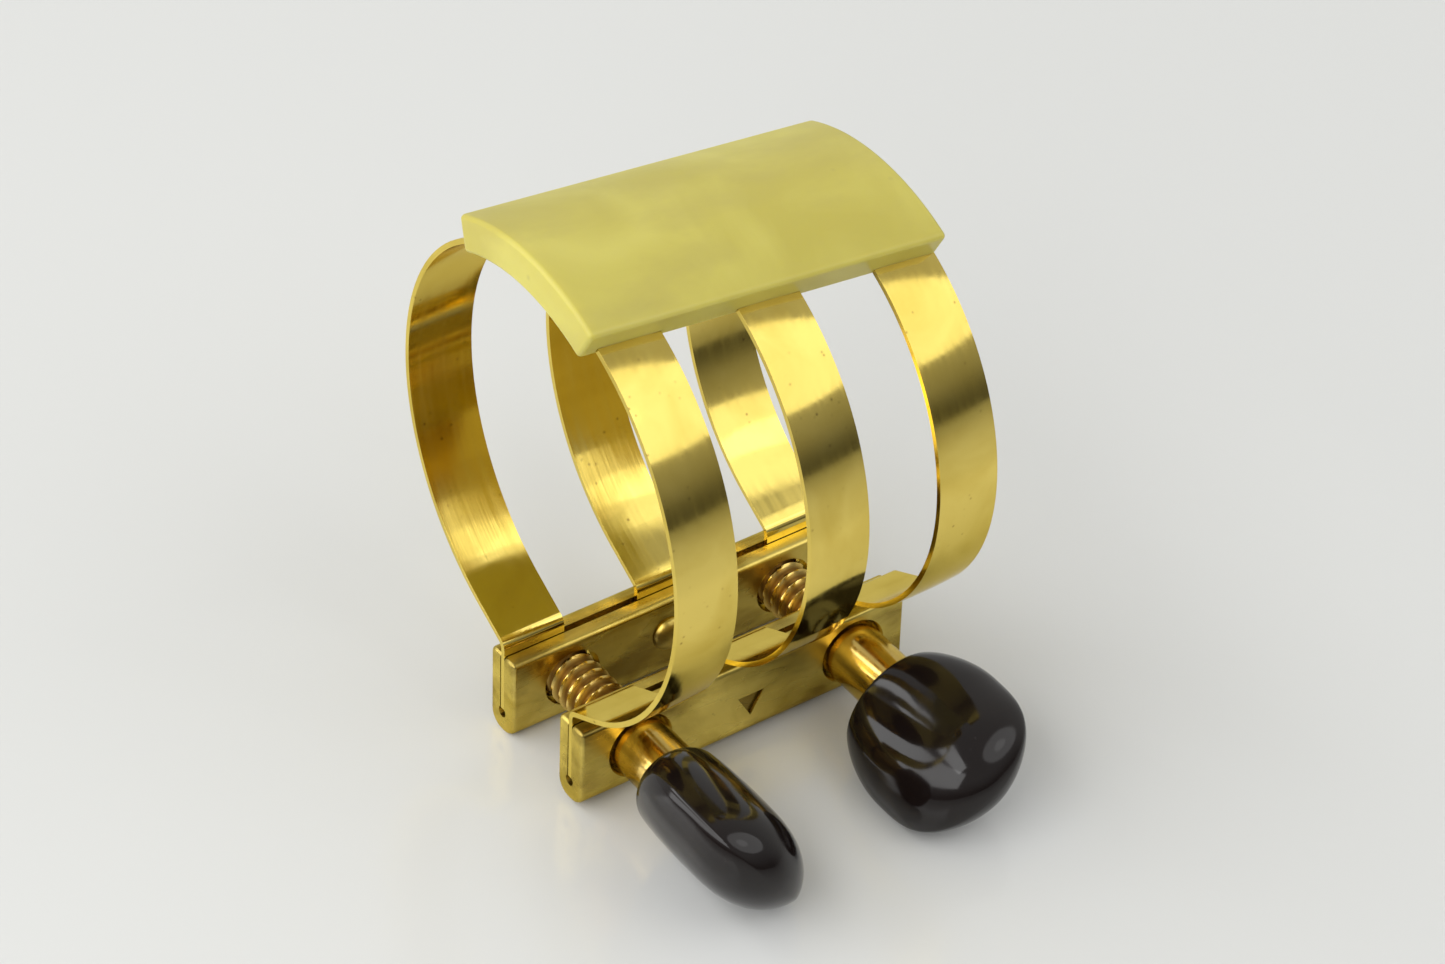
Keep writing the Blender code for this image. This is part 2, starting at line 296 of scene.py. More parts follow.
def tarnishGroup():
    tree, gin, gout = newGroup("tarnish", [
        ("Vector", "NodeSocketVector", None), ("Cloud Scale", "NodeSocketFloat", 220.0),
        ("Speck Scale", "NodeSocketFloat", 1400.0), ("Speck Size", "NodeSocketFloat", 0.2)],
        [("Cloud", "NodeSocketFloat"), ("Specks", "NodeSocketFloat")])
    cloud = tree.nodes.new("ShaderNodeTexNoise")
    cloud.inputs["Detail"].default_value = 5.0
    cloud.inputs["Distortion"].default_value = 0.6
    tree.links.new(gin.outputs["Vector"], cloud.inputs["Vector"])
    tree.links.new(gin.outputs["Cloud Scale"], cloud.inputs["Scale"])
    tree.links.new(cloud.outputs["Fac"], gout.inputs["Cloud"])
    cells = tree.nodes.new("ShaderNodeTexVoronoi")
    tree.links.new(gin.outputs["Vector"], cells.inputs["Vector"])
    tree.links.new(gin.outputs["Speck Scale"], cells.inputs["Scale"])
    less = tree.nodes.new("ShaderNodeMapRange")
    less.interpolation_type = "SMOOTHSTEP"
    less.inputs["From Min"].default_value = 0.0
    less.inputs["To Min"].default_value = 1.0
    less.inputs["To Max"].default_value = 0.0
    tree.links.new(cells.outputs["Distance"], less.inputs["Value"])
    tree.links.new(gin.outputs["Speck Size"], less.inputs["From Max"])
    gate = tree.nodes.new("ShaderNodeTexNoise")
    tree.links.new(gin.outputs["Vector"], gate.inputs["Vector"])
    gate.inputs["Scale"].default_value = 480.0
    step = tree.nodes.new("ShaderNodeMapRange")
    step.inputs["From Min"].default_value = 0.52
    step.inputs["From Max"].default_value = 0.66
    tree.links.new(gate.outputs["Fac"], step.inputs["Value"])
    both = tree.nodes.new("ShaderNodeMath")
    both.operation = "MULTIPLY"
    tree.links.new(less.outputs[0], both.inputs[0])
    tree.links.new(step.outputs[0], both.inputs[1])
    tree.links.new(both.outputs[0], gout.inputs["Specks"])
    return tree


rubTree = rubGroup()
tarnishTree = tarnishGroup()


def useGroup(nodes, tree, **values):
    n = nodes.new("ShaderNodeGroup")
    n.node_tree = tree
    for key, value in values.items():
        n.inputs[key.replace("_", " ")].default_value = value
    return n


def mixColor(nodes, links, fac, a, b):
    n = nodes.new("ShaderNodeMix")
    n.data_type = "RGBA"
    for sock, value in ((n.inputs[0], fac), (n.inputs[6], a), (n.inputs[7], b)):
        if hasattr(value, "links"):
            links.new(value, sock)
        elif hasattr(value, "__len__"):
            sock.default_value = (*value, 1.0)
        else:
            sock.default_value = value
    return n.outputs[2]


def mapRange(nodes, links, value, a, b, c, d):
    n = nodes.new("ShaderNodeMapRange")
    links.new(value, n.inputs["Value"])
    for key, v in (("From Min", a), ("From Max", b), ("To Min", c), ("To Max", d)):
        n.inputs[key].default_value = v
    return n.outputs[0]


def math2(nodes, links, operation, a, b):
    n = nodes.new("ShaderNodeMath")
    n.operation = operation
    for sock, value in ((n.inputs[0], a), (n.inputs[1], b)):
        if hasattr(value, "links"):
            links.new(value, sock)
        else:
            sock.default_value = value
    return n.outputs[0]


edgeTint = (0.92, 0.84, 0.52, 1.0)               # brass stays yellow at a low angle
bandFinish = dict(bright=(0.755, 0.585, 0.145), deep=(0.63, 0.465, 0.09), speck=(0.22, 0.13, 0.03),
                  rough=0.065, roughWear=0.06, haze=0.06, grain=0.05, grainDepth=0.00005,
                  wave=0.06, waveScale=110.0, waveDepth=0.0006, speckShare=0.75)


def bandBrass():
    mat, nodes, links, bsdf = newMaterial("bandBrass")
    f = bandFinish
    uv = node(nodes, "ShaderNodeUVMap", uv_map="strip")
    coord = node(nodes, "ShaderNodeTexCoord")
    rolled = useGroup(nodes, rubTree, Stretch=(26.0, 1.0, 1.0), Scale=0.9, Detail=5.0)
    links.new(uv.outputs["UV"], rolled.inputs["Vector"])
    dirt = useGroup(nodes, tarnishTree, Cloud_Scale=190.0, Speck_Scale=1500.0, Speck_Size=0.22)
    links.new(coord.outputs["Object"], dirt.inputs["Vector"])
    cloud = mapRange(nodes, links, dirt.outputs["Cloud"], 0.42, 0.72, 0.0, 1.0)
    tone = mixColor(nodes, links, cloud, f["bright"], f["deep"])
    specks = math2(nodes, links, "MULTIPLY", dirt.outputs["Specks"], f["speckShare"])
    tone = mixColor(nodes, links, specks, tone, f["speck"])
    links.new(tone, bsdf.inputs["Base Color"])
    bsdf.inputs["Metallic"].default_value = 1.0
    bsdf.inputs["Specular Tint"].default_value = edgeTint
    roughest = f["rough"] + f["roughWear"]
    rough = mapRange(nodes, links, rolled.outputs["Mask"], 0.35, 0.7, f["rough"], roughest)
    rough = math2(nodes, links, "ADD", rough, math2(nodes, links, "MULTIPLY", cloud, f["haze"]))
    links.new(rough, bsdf.inputs["Roughness"])
    bump = node(nodes, "ShaderNodeBump", Strength=f["grain"], Distance=f["grainDepth"])
    links.new(rolled.outputs["Mask"], bump.inputs["Height"])
    wave = node(nodes, "ShaderNodeTexNoise", Scale=f["waveScale"], Detail=1.0)
    links.new(coord.outputs["Object"], wave.inputs["Vector"])
    soft = node(nodes, "ShaderNodeBump", Strength=f["wave"], Distance=f["waveDepth"])
    links.new(wave.outputs["Fac"], soft.inputs["Height"])
    links.new(bump.outputs["Normal"], soft.inputs["Normal"])
    links.new(soft.outputs["Normal"], bsdf.inputs["Normal"])
    return mat


rail = dict(length=23.30, height=5.90, thick=2.45, fold=1.10, foldSteps=10,
            topRound=0.34, endRound=0.26, roundSteps=4, edge=0.05, seam=0.44, seamBottom=1.50,
            hollow=0.36, tap=1.95, bore=1.95, seat=2.09, seatDepth=0.90, seatLip=0.16,
            screwLeft=-7.43, screwRight=7.95, screwHeight=3.12)
frontFaceY = frontY - rail["thick"] / 2
stamp = dict(x=0.50, z=2.75, radius=1.10, depth=0.20, shade=0.85,    # a plain three-cornered dimple
             shadeFrom=1.25, shadeTo=1.35)
railFinish = dict(bright=(0.74, 0.58, 0.145), deep=(0.46, 0.335, 0.06), stain=(0.20, 0.13, 0.03),
                  speck=(0.20, 0.12, 0.04), stainShare=0.80, speckShare=0.6, rough=0.20, roughWear=0.22,
                  grain=0.30, grainDepth=0.00006, wave=0.25, waveDepth=0.0003)
rivet = dict(x=-0.45, z=3.30, head=1.15, flatten=0.5, shank=0.65, hole=0.67, standOff=0.02,
             overlap=0.05, sides=32)
rivetFinish = dict(railFinish, bright=(0.82, 0.66, 0.20), deep=(0.66, 0.50, 0.12), rough=0.32)


def railBrass(name, f):
    mat, nodes, links, bsdf = newMaterial(name)
    coord = node(nodes, "ShaderNodeTexCoord")
    rub = useGroup(nodes, rubTree, Stretch=(0.06, 1.0, 1.0), Scale=2600.0, Detail=6.0)
    links.new(coord.outputs["Object"], rub.inputs["Vector"])
    broad = useGroup(nodes, rubTree, Stretch=(0.25, 1.0, 1.0), Scale=520.0, Detail=3.0)
    links.new(coord.outputs["Object"], broad.inputs["Vector"])
    dirt = useGroup(nodes, tarnishTree, Cloud_Scale=260.0, Speck_Scale=1700.0, Speck_Size=0.2)
    links.new(coord.outputs["Object"], dirt.inputs["Vector"])
    cloud = mapRange(nodes, links, dirt.outputs["Cloud"], 0.40, 0.70, 0.0, 1.0)
    tone = mixColor(nodes, links, cloud, f["bright"], f["deep"])
    old = useGroup(nodes, rubTree, Stretch=(0.45, 1.0, 1.0), Scale=330.0, Detail=6.0)
    links.new(coord.outputs["Object"], old.inputs["Vector"])
    stain = mapRange(nodes, links, old.outputs["Mask"], 0.50, 0.68, 0.0, f["stainShare"])
    tone = mixColor(nodes, links, stain, tone, f["stain"])
    # painted shade: the floor of the dimple is drawn dark, in the stain colour
    dimple = home + Vector((stamp["x"], frontFaceY + stamp["depth"], stamp["z"]))
    fromDimple = node(nodes, "ShaderNodeVectorMath", operation="DISTANCE")
    fromDimple.inputs[1].default_value = dimple * mm
    links.new(coord.outputs["Object"], fromDimple.inputs[0])
    split = node(nodes, "ShaderNodeSeparateXYZ")
    links.new(coord.outputs["Object"], split.inputs[0])
    faceAt = frontLow.y + 0.05 * mm
    sunk = mapRange(nodes, links, split.outputs["Y"], faceAt, faceAt + 0.1 * mm, 0.0, 1.0)
    near = mapRange(nodes, links, fromDimple.outputs["Value"],
                    stamp["shadeFrom"] * mm, stamp["shadeTo"] * mm, stamp["shade"], 0.0)
    tone = mixColor(nodes, links, math2(nodes, links, "MULTIPLY", sunk, near), tone, f["stain"])
    specks = math2(nodes, links, "MULTIPLY", dirt.outputs["Specks"], f["speckShare"])
    tone = mixColor(nodes, links, specks, tone, f["speck"])
    links.new(tone, bsdf.inputs["Base Color"])
    bsdf.inputs["Metallic"].default_value = 1.0
    bsdf.inputs["Specular Tint"].default_value = edgeTint
    roughest = f["rough"] + f["roughWear"]
    rough = mapRange(nodes, links, broad.outputs["Mask"], 0.35, 0.7, f["rough"], roughest)
    links.new(rough, bsdf.inputs["Roughness"])
    bump = node(nodes, "ShaderNodeBump", Strength=f["grain"], Distance=f["grainDepth"])
    links.new(rub.outputs["Mask"], bump.inputs["Height"])
    wave = node(nodes, "ShaderNodeBump", Strength=f["wave"], Distance=f["waveDepth"])
    links.new(broad.outputs["Mask"], wave.inputs["Height"])
    links.new(bump.outputs["Normal"], wave.inputs["Normal"])
    links.new(wave.outputs["Normal"], bsdf.inputs["Normal"])
    return mat


screw = dict(threadRadius=1.70, root=1.27, pitch=0.794, barrel=1.95, shoulder=-4.20, neckEnd=-2.30,
             end=5.25, barrelEnd=-10.30, sides=56, perTurn=14, fadeIn=8, fadeOut=6,
             grooveShare=0.10, flankShare=0.80, flankCurve=1.15)
# the deep colour is painted shade in the thread's grooves, the bright colour is the crests' own brass
screwBrassAndGrooveShade = dict(bright=(0.78, 0.56, 0.165), deep=(0.22, 0.115, 0.024), rough=0.13, grooveRough=0.42,
                   turnedRough=0.10, grooveAt=1.40, crestAt=1.69, grain=0.2, grainDepth=0.00003)


def screwBrass(name, axisX, axisZ):
    mat, nodes, links, bsdf = newMaterial(name)
    f = screwBrassAndGrooveShade
    coord = node(nodes, "ShaderNodeTexCoord")
    centred = node(nodes, "ShaderNodeMapping")
    centred.inputs["Location"].default_value = (-axisX * mm, 0, -axisZ * mm)
    links.new(coord.outputs["Object"], centred.inputs["Vector"])
    flat = node(nodes, "ShaderNodeVectorMath", operation="MULTIPLY")
    flat.inputs[1].default_value = (1.0, 0.0, 1.0)
    links.new(centred.outputs[0], flat.inputs[0])
    reach = node(nodes, "ShaderNodeVectorMath", operation="LENGTH")
    links.new(flat.outputs[0], reach.inputs[0])
    # painted shade: the thread is drawn dark down in its grooves and bright on its crests
    height = mapRange(nodes, links, reach.outputs["Value"], f["grooveAt"] * mm, f["crestAt"] * mm, 0.0, 1.0)
    split = node(nodes, "ShaderNodeSeparateXYZ")
    links.new(coord.outputs["Object"], split.inputs[0])
    # the tip's end is kept out of the painted groove shade
    tipAt = (home.y + screw["end"]) * mm
    tip = mapRange(nodes, links, split.outputs["Y"], tipAt - 0.12 * mm, tipAt - 0.08 * mm, 0.0, 0.8)
    height = math2(nodes, links, "MAXIMUM", height, tip)
    turned = useGroup(nodes, rubTree, Stretch=(0.05, 1.0, 0.05), Scale=4200.0, Detail=4.0)
    links.new(centred.outputs[0], turned.inputs["Vector"])
    dirt = useGroup(nodes, tarnishTree, Cloud_Scale=420.0, Speck_Scale=1900.0, Speck_Size=0.25)
    links.new(coord.outputs["Object"], dirt.inputs["Vector"])
    cloud = mapRange(nodes, links, dirt.outputs["Cloud"], 0.35, 0.65, 0.75, 1.0)
    # painted groove shade, mixed with the tarnish clouds
    shade = math2(nodes, links, "MULTIPLY", height, cloud)
    tone = mixColor(nodes, links, shade, f["deep"], f["bright"])
    links.new(tone, bsdf.inputs["Base Color"])
    bsdf.inputs["Metallic"].default_value = 1.0
    bsdf.inputs["Specular Tint"].default_value = edgeTint
    rough = mapRange(nodes, links, height, 0.0, 1.0, f["grooveRough"], f["rough"])
    marks = mapRange(nodes, links, turned.outputs["Mask"], 0.4, 0.7, 0.0, f["turnedRough"])
    rough = math2(nodes, links, "ADD", rough, marks)
    links.new(rough, bsdf.inputs["Roughness"])
    bump = node(nodes, "ShaderNodeBump", Strength=f["grain"], Distance=f["grainDepth"])
    links.new(turned.outputs["Mask"], bump.inputs["Height"])
    links.new(bump.outputs["Normal"], bsdf.inputs["Normal"])
    return mat


vinyl = dict(dark=(0.005, 0.0032, 0.003), light=(0.011, 0.007, 0.006), dust=(0.12, 0.11, 0.10),
             dustShare=0.18, rough=0.10, smoother=0.05, rougher=0.07, ior=1.43,
             wave=0.12, waveScale=330.0, waveDepth=0.0004)


def gripVinyl():
    mat, nodes, links, bsdf = newMaterial("gripVinyl")
    coord = node(nodes, "ShaderNodeTexCoord")
    dirt = useGroup(nodes, tarnishTree, Cloud_Scale=300.0, Speck_Scale=1300.0, Speck_Size=0.16)
    links.new(coord.outputs["Object"], dirt.inputs["Vector"])
    tone = mixColor(nodes, links, dirt.outputs["Cloud"], vinyl["dark"], vinyl["light"])
    dust = math2(nodes, links, "MULTIPLY", dirt.outputs["Specks"], vinyl["dustShare"])
    tone = mixColor(nodes, links, dust, tone, vinyl["dust"])
    links.new(tone, bsdf.inputs["Base Color"])
    smoothest = vinyl["rough"] - vinyl["smoother"]
    roughest = vinyl["rough"] + vinyl["rougher"]
    rough = mapRange(nodes, links, dirt.outputs["Cloud"], 0.3, 0.7, smoothest, roughest)
    links.new(rough, bsdf.inputs["Roughness"])
    bsdf.inputs["IOR"].default_value = vinyl["ior"]
    wave = node(nodes, "ShaderNodeTexNoise", Scale=vinyl["waveScale"], Detail=1.5)
    links.new(coord.outputs["Object"], wave.inputs["Vector"])
    bump = node(nodes, "ShaderNodeBump", Strength=vinyl["wave"], Distance=vinyl["waveDepth"])
    links.new(wave.outputs["Fac"], bump.inputs["Height"])
    links.new(bump.outputs["Normal"], bsdf.inputs["Normal"])
    return mat


resin = dict(body=(0.535, 0.465, 0.086), cloud=(0.63, 0.565, 0.125), dusk=(0.50, 0.43, 0.10),
             spot=(0.30, 0.24, 0.10), duskShare=0.8, spotShare=0.35, rough=0.28, roughWear=0.14,
             milk=0.5, milkRadius=(1.0, 0.9, 0.3), milkDepth=0.0012, grain=0.12, grainDepth=0.00004)


def plateResin():
    mat, nodes, links, bsdf = newMaterial("plateResin")
    coord = node(nodes, "ShaderNodeTexCoord")
    swirl = node(nodes, "ShaderNodeTexNoise", Scale=120.0, Detail=4.0, Distortion=0.8)
    links.new(coord.outputs["Object"], swirl.inputs["Vector"])
    cloud = mapRange(nodes, links, swirl.outputs["Fac"], 0.38, 0.66, 0.0, 1.0)
    tone = mixColor(nodes, links, cloud, resin["body"], resin["cloud"])
    veins = useGroup(nodes, rubTree, Stretch=(0.5, 1.0, 1.0), Scale=210.0, Detail=5.0)
    links.new(coord.outputs["Object"], veins.inputs["Vector"])
    dusk = mapRange(nodes, links, veins.outputs["Mask"], 0.50, 0.72, 0.0, resin["duskShare"])
    tone = mixColor(nodes, links, dusk, tone, resin["dusk"])
    dirt = useGroup(nodes, tarnishTree, Cloud_Scale=90.0, Speck_Scale=420.0, Speck_Size=0.12)
    links.new(coord.outputs["Object"], dirt.inputs["Vector"])
    spots = math2(nodes, links, "MULTIPLY", dirt.outputs["Specks"], resin["spotShare"])
    tone = mixColor(nodes, links, spots, tone, resin["spot"])
    links.new(tone, bsdf.inputs["Base Color"])
    roughest = resin["rough"] + resin["roughWear"]
    rough = mapRange(nodes, links, dirt.outputs["Cloud"], 0.3, 0.7, resin["rough"], roughest)
    links.new(rough, bsdf.inputs["Roughness"])
    bsdf.inputs["Subsurface Weight"].default_value = resin["milk"]
    bsdf.inputs["Subsurface Radius"].default_value = resin["milkRadius"]
    bsdf.inputs["Subsurface Scale"].default_value = resin["milkDepth"]
    fine = node(nodes, "ShaderNodeTexNoise", Scale=2600.0)
    links.new(coord.outputs["Object"], fine.inputs["Vector"])
    bump = node(nodes, "ShaderNodeBump", Strength=resin["grain"], Distance=resin["grainDepth"])
    links.new(fine.outputs["Fac"], bump.inputs["Height"])
    links.new(bump.outputs["Normal"], bsdf.inputs["Normal"])
    return mat


# bands: each side is one sheet, a flange with three strips

comb = dict(sheet=0.34, width=4.25, pitch=9.50, flangeBottom=1.75, flangeTop=4.95, corner=6.76,
            bend=0.40, reach=2.60, slotDepth=1.40, bendSteps=8, runSteps=5, ringSteps=46,
            cellsAcross=8, crown=0.055, crownSteps=8, edge=0.05)


def combLine(x, side, seamY, endAngle, crown):
    root = abs(seamY)
    first = math.asin((root + comb["reach"]) / (ring["halfWidth"] * scaleAt(x)))
    y1, z1 = ringPoint(x, side, first)
    slope = (z1 - comb["corner"]) / (y1 - seamY)
    bend = comb["bend"]
    turnY = seamY + side * bend
    points = [(seamY, comb["flangeBottom"]), (seamY, comb["flangeTop"])]
    # a tight fold over the rail, then a straight run to the ring
    for k in range(comb["bendSteps"] + 1):
        t = k / comb["bendSteps"]
        y = (1 - t * t) * seamY + t * t * turnY
        z = ((1 - t) ** 2 * (comb["corner"] - bend) + 2 * t * (1 - t) * comb["corner"]
             + t * t * (comb["corner"] + slope * (turnY - seamY)))
        points.append((y, z))
    n = comb["runSteps"]
    for k in range(1, n):
        points.append((turnY + (y1 - turnY) * k / n, points[-1][1] + slope * (y1 - turnY) / n))
    for k in range(1, comb["ringSteps"] + 1):
        angle = first + (endAngle - first) * k / comb["ringSteps"]
        swell = crown * min(1.0, k / comb["crownSteps"])
        y, z = ringPoint(x, side, angle)
        points.append((y + side * swell * math.sin(angle), z - swell * math.cos(angle)))
    return points


def stripColumns():
    half = comb["width"] / 2
    out = []
    for i in (-1, 0, 1):
        out += [i * comb["pitch"] - half + 2 * half * k / comb["cellsAcross"]
                for k in range(comb["cellsAcross"] + 1)]
    return out


uvSpan = 10                                       # millimetres of sheet to one unit of its own map


def laidGrid(columns, lines):                     # a sheet through one line of points at each x
    nx, ny = len(columns) - 1, len(lines[0]) - 1
    bpy.ops.mesh.primitive_grid_add(x_subdivisions=nx, y_subdivisions=ny, size=2, location=(0, 0, 0))
    obj = bpy.context.object
    mesh = obj.data
    mesh.uv_layers[0].name = "strip"
    lengths = []
    for line in lines:
        run = [0.0]
        for a, b in zip(line, line[1:]):
            run.append(run[-1] + math.hypot(b[0] - a[0], b[1] - a[1]))
        lengths.append(run)
    cell = {}
    for v in mesh.vertices:
        c = round((v.co.x + 1) / 2 * nx)
        r = round((v.co.y + 1) / 2 * ny)
        cell[v.index] = (c, r)
    for v in mesh.vertices:
        c, r = cell[v.index]
        y, z = lines[c][r]
        v.co = (home + Vector((columns[c], y, z))) * mm
    for loop in mesh.loops:
        c, r = cell[loop.vertex_index]
        mesh.uv_layers[0].data[loop.index].uv = (columns[c] / uvSpan, lengths[c][r] / uvSpan)
    return obj


def thicken(obj, thickness):
    mod = obj.modifiers.new("sheet", "SOLIDIFY")
    mod.thickness = thickness * mm
    mod.offset = 0.0
    mod.use_even_offset = True
    applyModifiers(obj)


def makeComb(side, seamY):
    columns = stripColumns()
    lines = []
    for x in columns:                             # each strip is a touch fuller along its middle
        off = (x - comb["pitch"] * round(x / comb["pitch"])) / (comb["width"] / 2)
        crown = comb["crown"] * (1 - off * off)
        lines.append(combLine(x, side, seamY, plateEndAngle(x, comb["slotDepth"]), crown))
    obj = laidGrid(columns, lines)
    gapLow = comb["width"] / 2
    gapHigh = comb["pitch"] - comb["width"] / 2
    top = home.z + comb["flangeTop"]

    def inOpening(p):
        across = abs(p.center.x / mm - home.x)
        return gapLow < across < gapHigh and p.center.z / mm > top

    pickFaces(obj, inOpening)
    bpy.ops.mesh.select_mode(type="FACE")
    bpy.ops.mesh.delete(type="FACE")
    objectMode()
    thicken(obj, comb["sheet"])
    outward(obj)
    return obj


# rails, hairpin folds with a seam for the flange

# how far a cutting shape runs past the piece, and from where to where the bores are cut
cutter = dict(over=1.0, proud=0.3, sink=0.02, sides=56, rearFrom=1.0, rearTo=8.0,
              frontFrom=-6.5, frontTo=-1.5)


def seatLip(x, faceY):                            # a cone that breaks the counterbore's mouth
    proud, sink = cutter["proud"], cutter["sink"]
    length = rail["seatLip"] + proud + sink
    bpy.ops.mesh.primitive_cone_add(
        vertices=cutter["sides"], radius1=rail["seat"] + rail["seatLip"] + proud,
        radius2=rail["seat"] - sink, depth=length, location=(0, 0, 0))
    obj = bpy.context.object
    obj.scale = (mm, mm, mm)
    obj.rotation_euler = (-math.pi / 2, 0, 0)
    obj.location = (home + Vector((x, faceY - proud + length / 2, rail["screwHeight"]))) * mm
    place(obj)
    return obj


def makeRail(seamY):
    obj = block((rail["length"], rail["thick"], rail["height"]), (0, seamY, rail["height"] / 2))
    near = 0.1                                    # how close an edge lies to the underside or top
    low = (home.z + near) * mm
    high = (home.z + rail["height"] - near) * mm
    editMode(obj, "EDGE")
    pickEdges(obj, lambda a, b: abs(a.x - b.x) > mm and a.z < low and b.z < low)
    bpy.ops.mesh.bevel(offset=rail["fold"] * mm, segments=rail["foldSteps"], profile=0.5, affect="EDGES")
    pickEdges(obj, lambda a, b: abs(a.x - b.x) > mm and a.z > high and b.z > high)
    bpy.ops.mesh.bevel(offset=rail["topRound"] * mm, segments=rail["roundSteps"],
                       profile=0.5, affect="EDGES")
    midX = home.x * mm
    reach = (rail["length"] / 2 - 0.01) * mm
    pickEdges(obj, lambda a, b: (min(abs(a.x - midX), abs(b.x - midX)) > reach
                                 and abs(a.x - b.x) < mm))
    bpy.ops.mesh.bevel(offset=rail["endRound"] * mm, segments=rail["roundSteps"],
                       profile=0.5, affect="EDGES")
    objectMode()
    outward(obj)
    depth = rail["height"] - rail["seamBottom"] + cutter["over"]
    span = rail["length"] + 2 * cutter["over"]
    cutWith(obj, block((span, rail["seam"], depth), (0, seamY, rail["seamBottom"] + depth / 2)))
    bpy.ops.mesh.primitive_cylinder_add(
        vertices=28, radius=rail["hollow"] * mm, depth=span * mm,
        location=(home + Vector((0, seamY, rail["seamBottom"]))) * mm, rotation=(0, math.pi / 2, 0))
    tunnel = bpy.context.object
    place(tunnel)
    cutWith(obj, tunnel)
    return obj


# pieces turned about a screw's axis

def turnedPiece(sides, stations, pointAt):        # a tube of stations, closed at both ends
    n = len(stations)
    bpy.ops.mesh.primitive_cylinder_add(vertices=sides, radius=1, depth=2, location=(0, 0, 0))
    obj = bpy.context.object
    editMode(obj, "EDGE")
    pickEdges(obj, lambda a, b: abs(a.z - b.z) > 1)
    bpy.ops.mesh.subdivide(number_cuts=n - 2)
    objectMode()
    for v in obj.data.vertices:
        k = round((v.co.z + 1) / 2 * (n - 1))
        a = math.atan2(v.co.y, v.co.x)
        v.co = (home + Vector(pointAt(stations[k], a))) * mm
    outward(obj)
    return obj


def makeScrew(axisX):
    d = screw
    axisZ = rail["screwHeight"]
    # each station is a place along the screw, its radius and how much of the thread it carries
    stations = [(d["barrelEnd"], d["barrel"], 0.0), (d["barrelEnd"] + 0.05, d["barrel"], 0.0),
                (-6.0, d["barrel"], 0.0), (d["shoulder"] - 0.16, d["barrel"], 0.0),
                (d["shoulder"] - 0.10, d["barrel"] - 0.02, 0.0),
                (d["shoulder"] - 0.04, d["barrel"] - 0.07, 0.0),
                (d["shoulder"], d["barrel"] - 0.15, 0.0), (d["shoulder"], d["root"] + 0.1, 0.0),
                (d["shoulder"] + 0.03, d["root"], 0.0), (d["neckEnd"] - 0.05, d["root"], 0.0)]
    step = d["pitch"] / d["perTurn"]
    count = int((d["end"] - 0.12 - d["neckEnd"]) / step)
    for i in range(count + 1):
        fade = min(1.0, i / d["fadeIn"], (count - i) / d["fadeOut"])
        stations.append((d["neckEnd"] + i * step, d["root"], fade))
    stations += [(d["end"] - 0.10, d["root"] - 0.04, 0.0), (d["end"], d["root"] - 0.25, 0.0)]

    def pointAt(station, a):
        y, r, thread = station
        if thread > 0:
            w = (y - d["neckEnd"]) / d["pitch"] + a / (2 * math.pi)
            saw = abs((w % 1.0) * 2 - 1)          # 0 in the groove, 1 on the crest
            crest = min(1.0, max(0.0, (saw - d["grooveShare"]) / d["flankShare"])) ** d["flankCurve"]
            r = r + (d["threadRadius"] - d["root"]) * thread * crest
        return axisX + r * math.cos(a), y, axisZ + r * math.sin(a)

    obj = turnedPiece(d["sides"], stations, pointAt)
    smoothShade(obj, 40)
    return obj


grip = dict(start=-9.40, end=-19.71, halfWidth=5.09, halfThick=2.965, neckWide=0.664, neckDeep=0.915,
            belly=0.439, rise=0.652, fall=1.76, blunt=0.53, rim=1.34, lip=0.10, lipLength=0.025,
            boreFrom=-11.0, boreTo=-5.0, boreSlack=0.03, sides=88, stations=52)
gripPlace = dict(left=(127.1, -0.475, 0.38), right=(36.1, -0.42, -0.26))    # turn, shift in X and in Z


def gripOutline(t, neck):                         # one half width along the grip, 1 at its belly
    d = grip
    if t < d["belly"]:
        size = neck + (1 - neck) * math.sin(math.pi / 2 * t / d["belly"]) ** d["rise"]
    else:
        past = ((t - d["belly"]) / (1 - d["belly"])) ** d["fall"]
        size = max(0.0, math.cos(math.pi / 2 * past)) ** d["blunt"]
    edge = min(1.0, t / d["lipLength"])
    return size * (1 - d["lip"] * (1 - math.sqrt(1 - (1 - edge) ** 2)))


def makeGrip(axisX, turn, shiftX, shiftZ):
    d = grip
    axisZ = rail["screwHeight"]
    ux, uz = math.cos(math.radians(turn)), math.sin(math.radians(turn))
    n = d["stations"]
    stations = [0.5 - 0.5 * math.cos(math.pi * k / (n - 1)) for k in range(n)]
    stations[-1] = 0.9995

    def pointAt(t, a):
        side = math.sin(a)
        w = gripOutline(t, d["neckWide"]) * d["halfWidth"] * math.cos(a)
        power = 1 + (d["rim"] - 1) * math.sin(math.pi * min(1.0, t * 1.4 + 0.1) / 2) ** 2
        h = gripOutline(t, d["neckDeep"]) * d["halfThick"] * math.copysign(abs(side) ** power, side)
        return (axisX + shiftX + ux * w - uz * h, d["start"] + (d["end"] - d["start"]) * t,
                axisZ + shiftZ + uz * w + ux * h)

    obj = turnedPiece(d["sides"], stations, pointAt)
    bore = screw["barrel"] + d["boreSlack"]
    cutWith(obj, rod(bore, d["boreFrom"], d["boreTo"], axisX, axisZ, screw["sides"]))
    smoothShade(obj, 50)
    return obj


# plate

